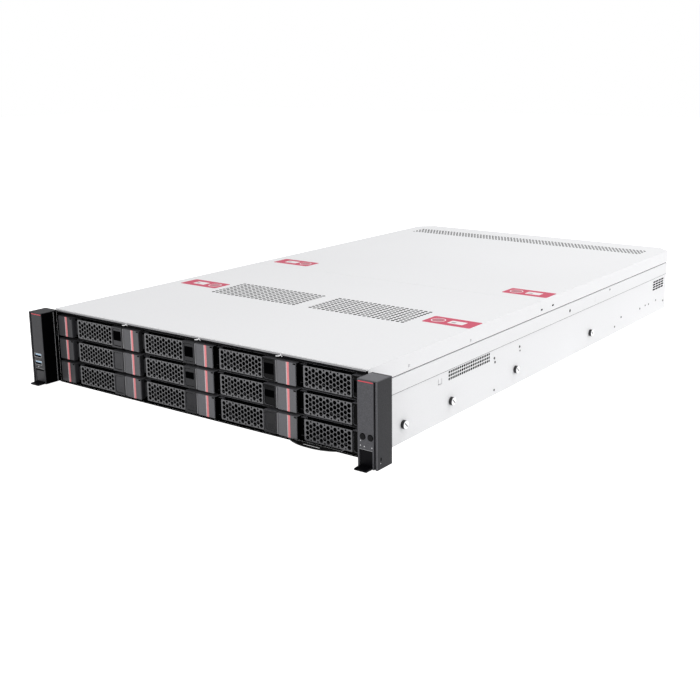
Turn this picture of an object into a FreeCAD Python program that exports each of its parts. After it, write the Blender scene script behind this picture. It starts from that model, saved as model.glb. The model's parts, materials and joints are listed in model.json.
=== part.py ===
"""Two-unit rack server: sheet-metal chassis, twelve pull-out drives, fans, board and supplies.

Millimetres. X runs to the right seen from the front, Y runs to the rear, +Z is up.
Y positions are written as depths behind the drive fronts; save() moves them to the part's
frame, whose origin is the centre of the chassis floor's underside.
"""
import FreeCAD
import Part
import math
import os

V = FreeCAD.Vector

# ---- driving dimensions -------------------------------------------------------------------
CHASSIS_DEPTH = 750.0
HALF_WIDTH = 218.5        # outside of the raised upper band
HEIGHT = 86.0
SHEET = 1.2

WALL_INNER = 216.3
WALL_LOWER = 217.8
WALL_UPPER = 217.3
BAND_LOW = 52.3
BAND_TOP = 68.2
FLANGE_LOW = 69.4
FLANGE_INNER = 217.5
LID_UNDER = HEIGHT - SHEET

COVER_FRONT = 1.0
COVER_SPLIT = 338.0
COVER_REAR = 768.0
CORNER_CUT = 19.0
COVER_GAP = 0.3
VENT_STARTS = (-132.2, 17.9)
VENT_DEPTH = 165.4
VENT_COUNT = (21, 10)
VENT_PITCH = (6.29, 6.16)
VENT_R = 2.0
REAR_VENT = (-196.0, 196.0, 696.0, 729.0)
REAR_HOLE = (5.5, 1.75)   # pitch, radius
DIMPLES = ((66.0, 73.9), (181.0, 73.8))
DIMPLE_R = 1.6
FLANGE_SLOTS = ((340.6, 345.4), (369.5, 374.5))
FLANGE_SLOT_Z = (74.0, 76.0)

COLUMNS = 4
ROWS = 3
COL_PITCH = 108.2
ROW_PITCH = 26.5
ROW_LOW = 2.4
FACE_HEIGHT = 22.6
CARRIER_LEFT = 0.6
CARRIER_RIGHT = 107.6
BEZEL_DEPTH = 12.0
STRIPE = (13.8, 17.4)
FRAME_LEFT = 25.4         # the bezel is solid outside of these two
FRAME_RIGHT = 91.6
FRAME_BACK = 9.0
AIR_WINDOW = (36.5, 88.5, 3.0)
CHAMFER = (2.4, 1.6)
TRAY_DEPTH = 165.0
RAIL = 2.3
RAIL_HEIGHT = 20.0
RAIL_INSET = 0.3
DISK = (101.6, 147.0, 25.4)
DISK_GAP = 2.0

HINGE = (29.4, 6.2)       # across the carrier, depth
PIN_R = 0.9
PIN_GAP = 0.35
LUG_HALF = 2.5
LUG_Z = (1.0, 3.4)
LUG_GAP = 0.4
KNUCKLE_HALF = 1.8
KNUCKLE_FRONT = 4.5
RIB = 1.0
GRILLE_LEFT = 33.8
GRILLE_RIGHT = 91.0
GRILLE_HEIGHT = 21.2
GRILLE_FRONT = 1.5
GRILLE_THICK = 0.8
COMB_COLUMNS = 13
COMB_ROWS = 4
COMB_STEP = 4.13
COMB_PITCH = 4.76
COMB_R = 2.3
EDGE_R = 1.1              # small holes that end every second column
EDGE_Z = 9.2

TAB_LEFT = 93.4
TAB_RIGHT = 106.2
TAB_HEIGHT = 18.2
TAB_GAP = 0.6
TAB_THICK = 3.8
TAB_FRONT = 0.6
POCKET_DEPTH = 6.5

LIP_LOW = 81.2
CAGE_FRONT = 13.0
CAGE_REAR = 166.0
DIVIDER = 0.8
LEDGE = 2.6
LEDGE_Z = (1.0, 0.1)      # underside and top, below the carrier

BACKPLANE = 168.0
FAN_WALL = 230.8
FAN_DEPTH = 38.0
FAN_SIZE = 80.0
FAN_BORE_R = 38.0
FAN_X = (-140.0, 0.0, 140.0)
FAN_Z = 43.0
STRUT = 4.0
STRUT_THICK = 3.0
HUB_R = 17.0
HUB_LENGTH = 30.0
HUB_FRONT = 3.0
BLADES = 7
BLADE = (21.0, 28.0, 1.6)
BLADE_ROOT = 15.5
BLADE_TURN = 38.0

BOARD_LEFT = -134.0
BOARD_RIGHT = 213.0
BOARD_FRONT = 300.0
BOARD_REAR = 734.0
BOARD_Z = 7.2
BOARD_THICK = 1.6
STANDOFF_R = 3.5
STANDOFF_INSET = 8.0
MEMORY_STARTS = (-124.0, -4.0, 116.0)
MEMORY_COUNT = 8
MEMORY_PITCH = 9.5
MEMORY_DEPTHS = (340.0, 474.0)
MEMORY = (6.0, 31.0)      # thickness, height
SINK_LEFTS = (-46.0, 74.0)
SINK_WIDTH = 40.0
SINK_DEPTHS = (355.0, 460.0)
SINK_TOP = 68.0
SINK_BASE = 8.0
FINS = 11
FIN = 1.2

SUPPLY = (73.5, 185.0, 40.0)
SUPPLY_LEFT = -213.8
SUPPLY_Z = (1.4, 43.0)
INLET = (28.0, 12.0, 20.0)

EAR_INNER = 219.9
EAR_OUTER = 241.3
EAR_FRONT = -18.5
EAR_FLANGE = 2.0
EAR_REAR = 4.7
EAR_LOW = 0.5
EAR_TOP = 83.0
EAR_STEP = 79.0           # top of the part that lies against the wall
RECESS_TOP = 17.6
RECESS_DEPTH = 10.0
LATCH_LEFT = 222.0
LATCH_RIGHT = 235.6
LATCH_PIN = (EAR_FRONT + 2.2, 15.6)
GROOVE = (237.5, 239.6)
EAR_STRIP = (80.4, 81.5)
BUTTON_R = 2.8
BUTTON_Z = 30.0
BUTTON_X = {"power_button": 225.4, "id_button": 233.9}
USB_Z = (33.2, 24.6)
USB_X = 230.6

INFO_LEFT = 124.0
INFO_RIGHT = 184.0
INFO_REACH = 7.8
INFO_LENGTH = 70.0

SLEEVE_TOP = 2.2
SLEEVE_WALL = 3.0
SLEEVE_Z = (0.5, 1.7)
INFO_Z = (0.6, 1.6)

STUD_DEPTHS = (57.0, 144.0, 282.0, 483.0)
STUD_Z = 18.0
STEM = (2.2, 2.6)         # radius, length
HEAD = (4.2, 1.2)

SIDE_VENT = (140.4, 42.0)
SIDE_COUNT = (23, 3)
SIDE_PITCH = (3.7, 3.65)
SIDE_R = 1.35
BAND_HOLES = ((420.0, 59.0, 2.0), (540.7, 64.3, 1.5))   # depth, height, radius
BAND_SLOT = (490.0, 500.0, 57.0, 61.0, 1.9)
TAB_CUT = (119.6, 126.4, 40.4, 46.6)
TAB_CUT_WIDTH = 0.9
LOUVRE = (8.6, 2.0)
LOUVRE_START = (698.5, 34.6)
LOUVRE_STEP = (10.4, 3.6)
LOUVRE_STAGGER = 0.8
LOUVRES = 4


# ---- helpers ------------------------------------------------------------------------------
def wire(points):
    return Part.makePolygon(points + points[:1])


def plate(outline, holes, lift, along):
    """Flat outline with holes, extruded; lift maps a 2-D point to 3-D.

    The outline and the holes turn the same way, so the holes' wires are reversed.
    """
    wires = [wire([lift(p) for p in outline])]
    wires += [wire([lift(p) for p in reversed(hole)]) for hole in holes]
    return Part.Face(wires).extrude(along).Solids[0]


def plate_z(outline, z0, z1, holes=()):
    return plate(outline, list(holes), lambda p: V(p[0], p[1], z0), V(0, 0, z1 - z0))


def plate_y(outline, d0, d1, holes=()):
    return plate(outline, list(holes), lambda p: V(p[0], d0, p[1]), V(0, d1 - d0, 0))


def plate_x(outline, x0, x1, holes=()):
    return plate(outline, list(holes), lambda p: V(x0, p[0], p[1]), V(x1 - x0, 0, 0))


def box(x0, x1, d0, d1, z0, z1):
    return Part.makeBox(x1 - x0, d1 - d0, z1 - z0, V(x0, d0, z0))


def rect(a0, a1, b0, b1):
    return [(a0, b0), (a1, b0), (a1, b1), (a0, b1)]


def ngon(a, b, r, sides=6, turn=0.0):
    step = 2 * math.pi / sides
    return [(a + r * math.cos(turn + i * step), b + r * math.sin(turn + i * step))
            for i in range(sides)]


def rounded(a0, a1, b0, b1, r, steps=4):
    points = []
    corners = ((a1 - r, b1 - r, 0), (a0 + r, b1 - r, 1), (a0 + r, b0 + r, 2), (a1 - r, b0 + r, 3))
    for a, b, quarter in corners:
        for i in range(steps + 1):
            angle = math.pi / 2 * (quarter + i / steps)
            points.append((a + r * math.cos(angle), b + r * math.sin(angle)))
    return points


def staggered(a0, a1, b0, b1, pitch, r, sides=6):
    """Holes on a triangular lattice that fills the field and is centred in it."""
    step = pitch * math.sqrt(3) / 2
    rows = int((b1 - b0 - 2 * r) / step) + 1
    cols = int((a1 - a0 - 2 * r - pitch / 2) / pitch) + 1
    start_b = (b0 + b1 - (rows - 1) * step) / 2
    start_a = (a0 + a1 - (cols - 0.5) * pitch) / 2
    holes = []
    for i in range(rows):
        for j in range(cols):
            a = start_a + j * pitch + (pitch / 2 if i % 2 else 0)
            holes.append(ngon(a, start_b + i * step, r, sides, math.pi / 6))
    return holes


def grid(start, count, pitch, r):
    """Holes in straight rows and columns."""
    return [ngon(start[0] + i * pitch[0], start[1] + j * pitch[1], r, 6, math.pi / 6)
            for i in range(count[0]) for j in range(count[1])]


def mirrored(shape):
    return shape.mirror(V(0, 0, 0), V(1, 0, 0))


def fuse(shapes):
    solid = shapes[0].multiFuse(shapes[1:]).removeSplitter()
    return solid.Solids[0] if len(solid.Solids) == 1 else solid


def moved(shape, x, d, z):
    copy = shape.copy()
    copy.translate(V(x, d, z))
    return copy


def save(name, solids):
    shape = Part.makeCompound(solids) if len(solids) > 1 else solids[0].copy()
    shape.translate(V(0, -CHASSIS_DEPTH / 2, 0))
    shape.exportStep(os.path.join("parts", name + ".step"))


# ---- chassis sheet metal ------------------------------------------------------------------
def chassis_floor():
    left, right, rear = INFO_LEFT - SLEEVE_WALL, INFO_RIGHT + SLEEVE_WALL, INFO_LENGTH + 4
    w = WALL_INNER
    outline = [(-w, 0), (left, 0), (left, rear), (right, rear), (right, 0), (w, 0),
               (w, CHASSIS_DEPTH), (-w, CHASSIS_DEPTH)]
    sleeve = box(left, right, 0, rear, 0, SLEEVE_TOP)
    slot = box(INFO_LEFT - 0.2, INFO_RIGHT + 0.2, -1, INFO_LENGTH + 2, SLEEVE_Z[0], SLEEVE_Z[1])
    return fuse([plate_z(outline, 0, SHEET), sleeve.cut(slot)])


def side_wall():
    profile = [(WALL_INNER, 0), (WALL_LOWER, 0), (WALL_LOWER, BAND_LOW), (HALF_WIDTH, BAND_LOW),
               (HALF_WIDTH, BAND_TOP), (WALL_UPPER, BAND_TOP), (WALL_UPPER, LID_UNDER),
               (WALL_INNER, LID_UNDER)]
    wall = plate_y(profile, 0, CHASSIS_DEPTH)
    holes = grid(SIDE_VENT, SIDE_COUNT, SIDE_PITCH, SIDE_R)
    for row in range(LOUVRES):
        for col in range(LOUVRES):
            a = LOUVRE_START[0] + col * LOUVRE_STEP[0] + (row % 2) * LOUVRE_STAGGER
            b = LOUVRE_START[1] + row * LOUVRE_STEP[1]
            holes.append(rect(a, a + LOUVRE[0], b, b + LOUVRE[1]))
    holes += [ngon(depth, height, r, 16) for depth, height, r in BAND_HOLES]
    holes.append(rounded(*BAND_SLOT))
    front, rear, low, high = TAB_CUT
    w = TAB_CUT_WIDTH
    holes.append([(front, high), (front, low), (rear, low), (rear, high), (rear - w, high),
                  (rear - w, low + w), (front + w, low + w), (front + w, high)])
    tools = [plate_x(hole, WALL_INNER - 1, HALF_WIDTH + 1) for hole in holes]
    return wall.cut(tools).Solids[0]


def cover(front, top_outline, top_holes, flange_rear, flange_holes):
    top = plate_z(top_outline, LID_UNDER, HEIGHT, top_holes)
    flange = plate_x(rect(front, flange_rear, FLANGE_LOW, LID_UNDER), FLANGE_INNER, HALF_WIDTH,
                     flange_holes)
    return [top, flange, mirrored(flange)]


def front_cover():
    field = []
    for start in VENT_STARTS:
        field += grid((start, VENT_DEPTH), VENT_COUNT, VENT_PITCH, VENT_R)
    outline = rect(-HALF_WIDTH, HALF_WIDTH, COVER_FRONT, COVER_SPLIT)
    dimples = [ngon(depth, height, DIMPLE_R, 12) for depth, height in DIMPLES]
    return cover(COVER_FRONT, outline, field, COVER_SPLIT, dimples)


def rear_cover():
    front = COVER_SPLIT + COVER_GAP
    cut = COVER_REAR - CORNER_CUT
    outline = [(-HALF_WIDTH, front), (HALF_WIDTH, front), (HALF_WIDTH, cut),
               (HALF_WIDTH - CORNER_CUT, COVER_REAR), (CORNER_CUT - HALF_WIDTH, COVER_REAR),
               (-HALF_WIDTH, cut)]
    field = staggered(*REAR_VENT, *REAR_HOLE)
    slots = [rounded(*slot, *FLANGE_SLOT_Z, 0.9) for slot in FLANGE_SLOTS]
    return cover(front, outline, field, cut, slots)


# ---- drives -------------------------------------------------------------------------------
def carrier():
    """One carrier at column 0 with its underside at z = 0: bezel, side rails and pin."""
    chamfered = [(CARRIER_LEFT, CHAMFER[1]), (CARRIER_LEFT + CHAMFER[0], 0), (FRAME_LEFT, 0),
                 (FRAME_LEFT, BEZEL_DEPTH), (CARRIER_LEFT, BEZEL_DEPTH)]
    left = plate_z(chamfered, 0, FACE_HEIGHT)
    left = left.cut(box(STRIPE[0], STRIPE[1], -1, 0.3, -1, FACE_HEIGHT + 1))
    border = AIR_WINDOW[2]
    window = rect(AIR_WINDOW[0], AIR_WINDOW[1], border, FACE_HEIGHT - border)
    back = plate_y(rect(FRAME_LEFT, FRAME_RIGHT, 0, FACE_HEIGHT), FRAME_BACK, BEZEL_DEPTH, [window])
    mid = FACE_HEIGHT / 2
    half = TAB_HEIGHT / 2 + TAB_GAP
    right = box(FRAME_RIGHT, CARRIER_RIGHT, 0, BEZEL_DEPTH, 0, FACE_HEIGHT)
    pocket = plate_y(rounded(TAB_LEFT - TAB_GAP, TAB_RIGHT + TAB_GAP, mid - half, mid + half, 2.6),
                     -1, POCKET_DEPTH)
    right = right.cut(pocket)
    rails = []
    for x in (CARRIER_LEFT + RAIL_INSET, CARRIER_RIGHT - RAIL_INSET - RAIL):
        rails.append(box(x, x + RAIL, BEZEL_DEPTH, TRAY_DEPTH, 0, RAIL_HEIGHT))
    lugs = []
    for z in (LUG_Z[0], FACE_HEIGHT - LUG_Z[1]):
        lugs.append(box(HINGE[0] - LUG_HALF, HINGE[0] + LUG_HALF, KNUCKLE_FRONT, FRAME_BACK, z,
                        z + LUG_Z[1] - LUG_Z[0]))
    pin = Part.makeCylinder(PIN_R, FACE_HEIGHT - 2 * LUG_Z[0], V(HINGE[0], HINGE[1], LUG_Z[0]))
    return fuse([left, back, right, pin] + rails + lugs)


def disk():
    x0 = (CARRIER_LEFT + CARRIER_RIGHT - DISK[0]) / 2
    front = BEZEL_DEPTH + DISK_GAP
    return box(x0, x0 + DISK[0], front, front + DISK[1], 0, DISK[2])


def handle():
    """Honeycomb handle with the knuckle that turns on the carrier's pin."""
    mid = FACE_HEIGHT / 2
    half = GRILLE_HEIGHT / 2
    outline = rounded(GRILLE_LEFT, GRILLE_RIGHT, mid - half, mid + half, 1.2, 3)
    start = (GRILLE_LEFT + GRILLE_RIGHT - (COMB_COLUMNS - 1) * COMB_STEP) / 2
    comb = []
    for col in range(COMB_COLUMNS):
        x = start + col * COMB_STEP
        rows = COMB_ROWS - col % 2
        for row in range(rows):
            comb.append(ngon(x, mid + (row - (rows - 1) / 2) * COMB_PITCH, COMB_R))
        if col % 2:
            comb += [ngon(x, mid - EDGE_Z, EDGE_R), ngon(x, mid + EDGE_Z, EDGE_R)]
    face = plate_y(outline, GRILLE_FRONT, GRILLE_FRONT + GRILLE_THICK, comb)
    hole = ngon(HINGE[0], HINGE[1], (PIN_R + PIN_GAP) / math.cos(math.pi / 8), 8, math.pi / 8)
    low = LUG_Z[1] + LUG_GAP
    high = FACE_HEIGHT - low
    rib_end = GRILLE_LEFT + RIB
    knuckle = plate_z(rect(HINGE[0] - KNUCKLE_HALF, rib_end, KNUCKLE_FRONT,
                           HINGE[1] + KNUCKLE_HALF), low, high, [hole])
    rib = box(GRILLE_LEFT, rib_end, GRILLE_FRONT + GRILLE_THICK, KNUCKLE_FRONT, low, high)
    return fuse([face, knuckle, rib])


def release_tab():
    mid = FACE_HEIGHT / 2
    outline = rounded(TAB_LEFT, TAB_RIGHT, mid - TAB_HEIGHT / 2, mid + TAB_HEIGHT / 2, 2.0)
    return plate_y(outline, TAB_FRONT, TAB_FRONT + TAB_THICK)


def drive_bays():
    parts = {"drive_carrier": [carrier(), disk()], "carrier_handle": [handle()],
             "release_tab": [release_tab()]}
    for row in range(ROWS):
        for col in range(COLUMNS):
            x = (col - COLUMNS / 2) * COL_PITCH
            z = ROW_LOW + (ROWS - 1 - row) * ROW_PITCH
            for name, solids in parts.items():
                label = "%s_%d%d" % (name, row + 1, col + 1)
                save(label, [moved(solid, x, 0, z) for solid in solids])


def ledge_levels():
    return [ROW_LOW + row * ROW_PITCH for row in range(ROWS)]


def drive_cage():
    solids = []
    top = LID_UNDER - SHEET
    for i in range(1, COLUMNS):
        x = (i - COLUMNS / 2) * COL_PITCH
        pieces = [box(x - DIVIDER / 2, x + DIVIDER / 2, CAGE_FRONT, CAGE_REAR, SHEET, top)]
        for z in ledge_levels():
            half = DIVIDER / 2 + LEDGE
            pieces.append(box(x - half, x + half, CAGE_FRONT, CAGE_REAR, z - LEDGE_Z[0], z - LEDGE_Z[1]))
        solids.append(fuse(pieces))
    for z in ledge_levels():
        ledge = box(WALL_INNER - LEDGE, WALL_INNER, CAGE_FRONT, CAGE_REAR, z - LEDGE_Z[0], z - LEDGE_Z[1])
        solids += [ledge, mirrored(ledge)]
    lip = [box(-WALL_INNER, WALL_INNER, 1.4, 2.6, LIP_LOW, LID_UNDER),
           box(-WALL_INNER, WALL_INNER, 1.4, 18, top, LID_UNDER)]
    solids.append(fuse(lip))
    return solids


def backplane():
    slots = []
    connectors = []
    for col in range(COLUMNS):
        x = (col - COLUMNS / 2) * COL_PITCH
        for z in ledge_levels():
            slots.append(rect(x + 46, x + 98, z + 6, z + 18))
            connectors.append(box(x + 8, x + 42, BACKPLANE - 5.5, BACKPLANE, z + 4, z + 10))
    board = plate_y(rect(-214, 214, 1.6, 83), BACKPLANE, BACKPLANE + 1.6, slots)
    return [board] + connectors


# ---- fans ---------------------------------------------------------------------------------
def fan_frames():
    wall = plate_y(rect(-214, 214, SHEET, 84), FAN_WALL, FAN_WALL + SHEET,
                   [ngon(x, FAN_Z, FAN_BORE_R, 32) for x in FAN_X])
    front = FAN_WALL + SHEET
    rear = front + FAN_DEPTH
    half = FAN_SIZE / 2
    solids = [wall]
    for x in FAN_X:
        frame = plate_y(rect(x - half, x + half, FAN_Z - half, FAN_Z + half), front, rear,
                        [ngon(x, FAN_Z, FAN_BORE_R, 32)])
        struts = []
        inner = rear - STRUT_THICK
        reach, arm = FAN_BORE_R + 1, STRUT / 2
        struts.append(box(x - reach, x + reach, inner, rear, FAN_Z - arm, FAN_Z + arm))
        struts.append(box(x - arm, x + arm, inner, rear, FAN_Z - reach, FAN_Z + reach))
        struts.append(plate_y(ngon(x, FAN_Z, HUB_R, 32), inner, rear))
        solids.append(fuse([frame] + struts))
    return solids


def fan_rotor(x):
    front = FAN_WALL + SHEET + HUB_FRONT
    hub = Part.makeCylinder(HUB_R, HUB_LENGTH, V(x, front, FAN_Z), V(0, 1, 0))
    pieces = [hub]
    for i in range(BLADES):
        blade = Part.makeBox(*BLADE, V(BLADE_ROOT, -BLADE[1] / 2, -BLADE[2] / 2))
        blade.rotate(V(0, 0, 0), V(1, 0, 0), BLADE_TURN)
        blade.rotate(V(0, 0, 0), V(0, 1, 0), i * 360 / BLADES)
        blade.translate(V(x, front + HUB_LENGTH / 2, FAN_Z))
        pieces.append(blade)
    return fuse(pieces)


# ---- board, cooling and supplies ----------------------------------------------------------
PANEL_VENT = (24.0, 205.0, 40.0, 76.0)
PANEL_HOLE = (7.0, 2.6)   # pitch, radius
CARD_SLOTS = 3
CARD_LEFT = 40.0
CARD_STEP = 58.0
CARD_WIDTH = 42.0
CARD_Z = (14.0, 30.0)
PORTS = ((-124, -96, 12, 26), (-90, -74, 12, 26), (-70, -54, 12, 26), (-48, -16, 12, 24),
         (-8, 8, 12, 26))


def mainboard():
    low = BOARD_Z
    top = BOARD_Z + BOARD_THICK
    solids = [box(BOARD_LEFT, BOARD_RIGHT, BOARD_FRONT, BOARD_REAR, low, top)]
    inset = STANDOFF_INSET
    for x in (BOARD_LEFT + inset, (BOARD_LEFT + BOARD_RIGHT) / 2, BOARD_RIGHT - inset):
        for d in (BOARD_FRONT + inset, (BOARD_FRONT + BOARD_REAR) / 2, BOARD_REAR - inset):
            solids.append(plate_z(ngon(x, d, STANDOFF_R), SHEET, low))
    for start in MEMORY_STARTS:
        for i in range(MEMORY_COUNT):
            x = start + i * MEMORY_PITCH
            solids.append(box(x, x + MEMORY[0], *MEMORY_DEPTHS, top, top + MEMORY[1]))
    for x, d in ((60, 560), (120, 560), (180, 560)):
        solids.append(box(x, x + 8, d, d + 90, top, top + 12))
    solids.append(box(-110, -70, 560, 600, top, top + 3))
    solids.append(box(-40, -8, 600, 632, top, top + 8))
    for x0, x1, z0, z1 in PORTS:
        shell = box(x0, x1, 733, CHASSIS_DEPTH - 0.2, top, z1)
        mouth = box(x0 + 2, x1 - 2, CHASSIS_DEPTH - 3, CHASSIS_DEPTH, z0 + 1, z1 - 2)
        solids.append(shell.cut(mouth))
    return solids


def heat_sinks():
    base = BOARD_Z + BOARD_THICK
    foot = base + SINK_BASE
    pitch = SINK_WIDTH / FINS
    solids = []
    for left in SINK_LEFTS:
        right = left + SINK_WIDTH
        points = [(left, base), (right, base)]
        for i in range(FINS):
            edge = right - i * pitch
            points += [(edge, SINK_TOP), (edge - FIN, SINK_TOP), (edge - FIN, foot)]
            if i < FINS - 1:
                points.append((edge - pitch, foot))
        points.append((left, foot))
        solids.append(plate_y(points, *SINK_DEPTHS))
    return solids


def rear_panel():
    w = WALL_INNER
    windows = [rect(SUPPLY_LEFT - 1, SUPPLY_LEFT + SUPPLY[0] + 1, SHEET + 0.1, LID_UNDER - 1.2)]
    windows += [rect(x0 - 0.3, x1 + 0.3, BOARD_Z + BOARD_THICK - 0.3, z1 + 0.3)
                for x0, x1, _, z1 in PORTS]
    windows += staggered(*PANEL_VENT, *PANEL_HOLE)
    for i in range(CARD_SLOTS):
        left = CARD_LEFT + i * CARD_STEP
        windows.append(rect(left, left + CARD_WIDTH, *CARD_Z))
    front = CHASSIS_DEPTH - SHEET
    panel = plate_y(rect(-w, w, SHEET, LID_UNDER), front, CHASSIS_DEPTH, windows)
    right = SUPPLY_LEFT + SUPPLY[0]
    divider = box(right + 1, right + 1 + SHEET, CHASSIS_DEPTH - SUPPLY[1] - 6, front, SHEET,
                  LID_UNDER)
    shelf = box(-w, right + 1, CHASSIS_DEPTH - SUPPLY[1] - 6, front, SUPPLY_Z[1] - 1.3,
                SUPPLY_Z[1] - 0.1)
    return [panel, divider, shelf]


def power_supply(z):
    x0, x1 = SUPPLY_LEFT, SUPPLY_LEFT + SUPPLY[0]
    front = CHASSIS_DEPTH - SUPPLY[1]
    face = CHASSIS_DEPTH - INLET[1]
    inlet_left, inlet_right = x0 + 4, x0 + 4 + INLET[0]
    low, high = z + 10, z + 10 + INLET[2]
    rear = CHASSIS_DEPTH
    return [box(x0, x1, front, face, z, z + SUPPLY[2]),
            box(x0, x1, face, rear, z, low),
            box(x0, x1, face, rear, high, z + SUPPLY[2]),
            box(x0, inlet_left, face, rear, low, high),
            box(inlet_right, x1, face, rear, low, high),
            box(x1 - 21, x1 - 17.5, rear, rear + 14, z + 12, z + 28)]


# ---- ears, buttons, latches and the information tab ---------------------------------------
def ear_blank():
    block = box(EAR_INNER, EAR_OUTER, EAR_FRONT, EAR_FLANGE, EAR_LOW, EAR_TOP)
    flange = [(WALL_LOWER, EAR_LOW), (EAR_OUTER, EAR_LOW), (EAR_OUTER, EAR_TOP),
              (EAR_INNER, EAR_TOP), (EAR_INNER, EAR_STEP), (HALF_WIDTH, EAR_STEP),
              (HALF_WIDTH, BAND_LOW), (WALL_LOWER, BAND_LOW)]
    ear = fuse([block, plate_y(flange, EAR_FLANGE, EAR_REAR)])
    groove = box(GROOVE[0], GROOVE[1], EAR_FRONT - 1, EAR_FRONT + 1.5, EAR_LOW - 1, EAR_TOP - 0.8)
    strip = box(EAR_INNER + 0.6, GROOVE[0] - 0.4, EAR_FRONT - 1, EAR_FRONT + 0.3, EAR_STRIP[0],
                EAR_STRIP[1])
    recess = box(LATCH_LEFT - 0.5, LATCH_RIGHT + 0.5, EAR_FRONT - 1, EAR_FRONT + RECESS_DEPTH,
                 EAR_LOW - 1, RECESS_TOP)
    bearing = plate_x(ngon(LATCH_PIN[0], LATCH_PIN[1], (PIN_R + PIN_GAP) / math.cos(math.pi / 8), 8,
                           math.pi / 8), LATCH_LEFT - 1.6, LATCH_RIGHT + 1.6)
    return ear.cut([groove, strip, recess, bearing])


def ear_right():
    holes = [plate_y(ngon(x, BUTTON_Z, BUTTON_R + 0.4, 32), EAR_FRONT - 1, EAR_FRONT + 9)
             for x in BUTTON_X.values()]
    return ear_blank().cut(holes).Solids[0]


def ear_left():
    ear = mirrored(ear_blank())
    for z in USB_Z:
        mouth = box(-USB_X - 6, -USB_X + 6, EAR_FRONT - 1, EAR_FRONT + 10, z - 2.25, z + 2.25)
        tongue = box(-USB_X - 5.4, -USB_X + 5.4, EAR_FRONT + 1, EAR_FRONT + 10, z - 0.2, z + 1.7)
        ear = ear.cut(mouth.cut(tongue))
    return ear.Solids[0]


def rack_latch():
    """Plate in the ear's recess, its lip that a finger pulls and the pin that it turns on."""
    profile = [(EAR_FRONT - 9.0, 0.6), (EAR_FRONT + 3.2, 0.6), (EAR_FRONT + 3.2, 16.6),
               (EAR_FRONT + 1.2, 16.6), (EAR_FRONT + 1.2, 2.8), (EAR_FRONT - 9.0, 2.0)]
    pin = Part.makeCylinder(PIN_R, LATCH_RIGHT - LATCH_LEFT + 2.8,
                            V(LATCH_LEFT - 1.4, LATCH_PIN[0], LATCH_PIN[1]), V(1, 0, 0))
    return fuse([plate_x(profile, LATCH_LEFT, LATCH_RIGHT), pin])


def button(x):
    return Part.makeCylinder(BUTTON_R, 6.0, V(x, EAR_FRONT - 0.6, BUTTON_Z), V(0, 1, 0))


def info_tab():
    middle = (INFO_LEFT + INFO_RIGHT) / 2
    half = (INFO_RIGHT - INFO_LEFT) / 2
    points = [(INFO_RIGHT, INFO_LENGTH), (INFO_LEFT, INFO_LENGTH)]
    for i in range(17):
        t = -1 + i / 8
        points.append((middle + t * half, -INFO_REACH * (1 - abs(t) ** 2.4) - 0.4))
    slot = rounded(middle - 11, middle + 11, -4.6, -2.4, 1.0, 3)
    return plate_z(points, INFO_Z[0], INFO_Z[1], [slot])


def rail_studs():
    studs = []
    for depth in STUD_DEPTHS:
        stem = Part.makeCylinder(*STEM, V(WALL_LOWER, depth, STUD_Z), V(1, 0, 0))
        head = Part.makeCylinder(*HEAD, V(WALL_LOWER + STEM[1], depth, STUD_Z), V(1, 0, 0))
        stud = fuse([stem, head])
        studs += [stud, mirrored(stud)]
    return studs


# ---- export -------------------------------------------------------------------------------
os.makedirs("parts", exist_ok=True)

wall_right = side_wall()
save("chassis_floor", [chassis_floor()])
save("side_wall_right", [wall_right])
save("side_wall_left", [mirrored(wall_right)])
save("rear_panel", rear_panel())
save("front_cover", front_cover())
save("rear_cover", rear_cover())
save("drive_cage", drive_cage())
save("backplane", backplane())
drive_bays()
save("fan_frames", fan_frames())
for number, centre in enumerate(FAN_X, 1):
    save("fan_rotor_%d" % number, [fan_rotor(centre)])
save("mainboard", mainboard())
save("heat_sinks", heat_sinks())
for number, level in enumerate(SUPPLY_Z, 1):
    save("power_supply_%d" % number, power_supply(level))
save("ear_right", [ear_right()])
save("ear_left", [ear_left()])
latch = rack_latch()
save("rack_latch_right", [latch])
save("rack_latch_left", [mirrored(latch)])
for name, centre in BUTTON_X.items():
    save(name, [button(centre)])
save("info_tab", [info_tab()])
save("rail_studs", rail_studs())
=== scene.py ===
"""Looks of the two-unit rack server: materials, trim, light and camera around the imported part."""

import json
import math

import bmesh
import bpy
from mathutils import Matrix, Vector

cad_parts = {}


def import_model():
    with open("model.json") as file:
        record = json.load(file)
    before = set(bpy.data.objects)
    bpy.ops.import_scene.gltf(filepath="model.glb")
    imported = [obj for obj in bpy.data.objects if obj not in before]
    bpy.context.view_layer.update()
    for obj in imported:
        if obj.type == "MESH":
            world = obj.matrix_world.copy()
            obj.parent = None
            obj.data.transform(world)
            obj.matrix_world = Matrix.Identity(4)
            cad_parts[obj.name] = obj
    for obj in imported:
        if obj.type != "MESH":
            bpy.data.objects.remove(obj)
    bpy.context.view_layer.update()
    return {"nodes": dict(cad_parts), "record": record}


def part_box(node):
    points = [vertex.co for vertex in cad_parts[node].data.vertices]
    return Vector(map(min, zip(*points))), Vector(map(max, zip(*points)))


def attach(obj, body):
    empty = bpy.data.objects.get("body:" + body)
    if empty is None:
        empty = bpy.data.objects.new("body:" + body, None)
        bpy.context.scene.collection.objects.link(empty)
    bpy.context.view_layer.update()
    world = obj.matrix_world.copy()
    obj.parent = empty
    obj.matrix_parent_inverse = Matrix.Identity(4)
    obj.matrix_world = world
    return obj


MM = 0.001
ROWS = (1, 2, 3)
COLUMNS = (1, 2, 3, 4)
BAYS = [(row, column) for row in ROWS for column in COLUMNS]
SIDES = ((1, "right"), (-1, "left"))

# camera, fitted to the photo's view of the object
CAMERA_PLACE = (0.74744, -1.1012, 0.3497)
CAMERA_YAW = 35.132
CAMERA_PITCH = 12.761
CAMERA_ROLL = -0.242
CAMERA_LENS = 53.70
CAMERA_SHIFT = (-0.0488, -0.0658)
CAMERA_SENSOR = 36

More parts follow.
